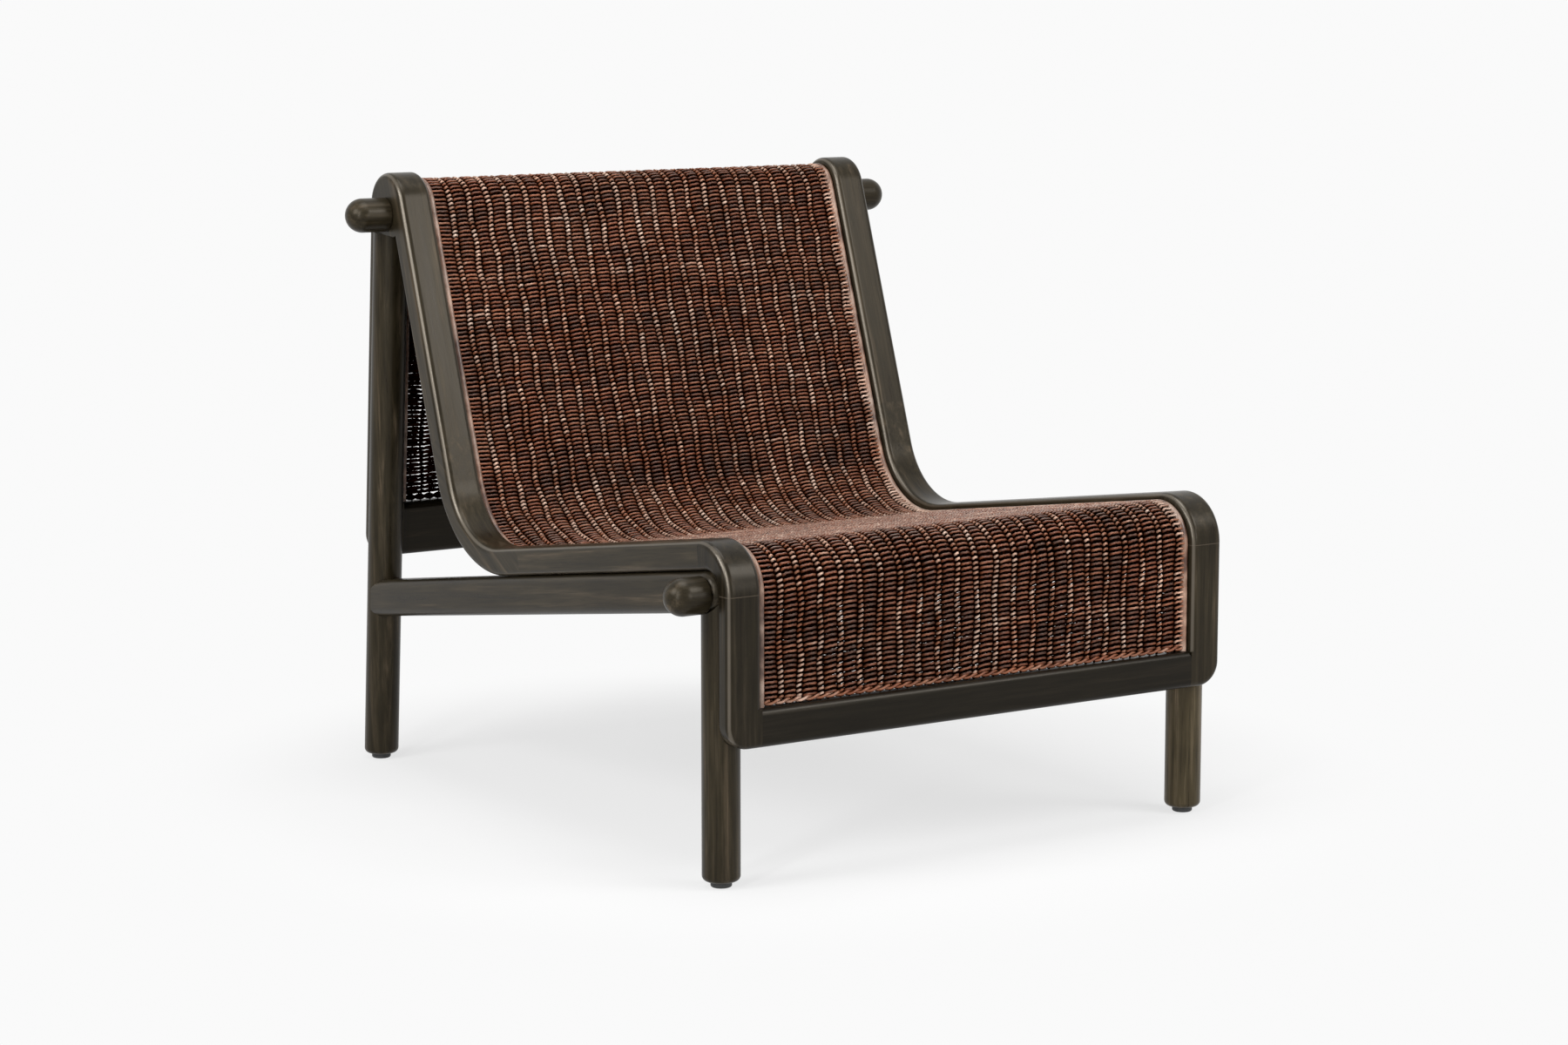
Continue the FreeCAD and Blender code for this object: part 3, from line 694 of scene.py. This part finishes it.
def stage_floor():
    """Pale floor that takes the chair's soft shadows and fades into the backdrop's white."""
    half = FLOOR_SIZE / 2
    corners = [(-half, -half, 0), (half, -half, 0), (half, half, 0), (-half, half, 0)]
    mesh = bpy.data.meshes.new("floor")
    mesh.from_pydata(corners, [], [(0, 1, 2, 3)])
    floor = bpy.data.objects.new("floor", mesh)
    bpy.context.collection.objects.link(floor)
    nodes = Nodes("floor")
    distance = nodes.add("VectorMath", Vector=nodes.place)
    distance.operation = "LENGTH"
    fade = nodes.add("MapRange", Value=distance.outputs["Value"], From_Min=FLOOR_CLEAR_RADIUS,
                     From_Max=FLOOR_FADE_RADIUS, To_Min=FLOOR_NEAR_SHARE)
    fade.interpolation_type = "SMOOTHSTEP"
    dust = nodes.noise(nodes.place, DUST_NOISE)
    nodes.set(nodes.shader, "Base Color", nodes.levels(dust, *DUST_LEVELS))
    nodes.set(nodes.shader, "Roughness", FLOOR_ROUGHNESS)
    nodes.set(nodes.shader, "Specular IOR Level", FLOOR_SHINE)
    glow = nodes.add("Emission", Color=grey(BACKGROUND), Strength=1.0)
    blend = nodes.add("MixShader")
    nodes.set(blend, 0, nodes.math("MULTIPLY", fade.outputs["Result"], background_rays(nodes.tree)))
    nodes.set(blend, 1, nodes.shader.outputs["BSDF"])
    nodes.set(blend, 2, glow.outputs["Emission"])
    nodes.set(nodes.tree.nodes["Material Output"], "Surface", blend.outputs["Shader"])
    mesh.materials.append(nodes.material)


def studio_world():
    """White background, and a soft even light for the rest."""
    world = bpy.data.worlds.new("studio")
    world.use_nodes = True
    tree = world.node_tree
    tree.nodes.clear()
    out = tree.nodes.new("ShaderNodeOutputWorld")
    mix = tree.nodes.new("ShaderNodeMixShader")
    soft = tree.nodes.new("ShaderNodeBackground")
    soft.inputs["Color"].default_value = grey(1.0)
    soft.inputs["Strength"].default_value = WORLD_STRENGTH
    white = tree.nodes.new("ShaderNodeBackground")
    white.inputs["Color"].default_value = grey(BACKGROUND)
    tree.links.new(background_rays(tree), mix.inputs[0])
    tree.links.new(soft.outputs["Background"], mix.inputs[1])
    tree.links.new(white.outputs["Background"], mix.inputs[2])
    tree.links.new(mix.outputs["Shader"], out.inputs["Surface"])
    bpy.context.scene.world = world


def area_light(name, place, size, power, tall=None):
    """Round lamp of a size, or an upright strip where it is also given how tall it is."""
    light = bpy.data.lights.new(name, "AREA")
    light.shape = "RECTANGLE" if tall else "DISK"
    light.size = size
    if tall:
        light.size_y = tall
    light.energy = power
    lamp = bpy.data.objects.new(name, light)
    lamp.location = place
    lamp.rotation_euler = (LIGHT_TARGET - Vector(place)).to_track_quat("-Z", "Y").to_euler()
    bpy.context.collection.objects.link(lamp)


stage_floor()
studio_world()
area_light("key", place=(-2.5, -0.2, 1.9), size=1.3, power=38)
area_light("top", place=(-0.2, -0.2, 2.7), size=1.6, power=30)
area_light("front_right", place=(1.35, -1.95, 2.1), size=1.2, power=33)
area_light("front_low", place=(0.5, -2.6, 0.9), size=1.0, power=13)
area_light("edge_strip", place=(-2.75, -1.75, 1.5), size=0.35, power=42, tall=2.4)

front_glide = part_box("front_glide_left")
front_axis_y = (front_glide[0].y + front_glide[1].y) / 2
camera = bpy.data.objects.new("camera", bpy.data.cameras.new("camera"))
camera.data.lens = CAMERA_LENS
camera.data.sensor_width = CAMERA_SENSOR
camera.location = CAMERA_FROM_FRONT_LEGS + Vector((0, front_axis_y, 0))
camera.rotation_euler = (math.radians(90 - CAMERA_PITCH), 0, math.radians(-CAMERA_YAW))
bpy.context.collection.objects.link(camera)
scene = bpy.context.scene
scene.camera = camera
scene.view_settings.view_transform = "Standard"
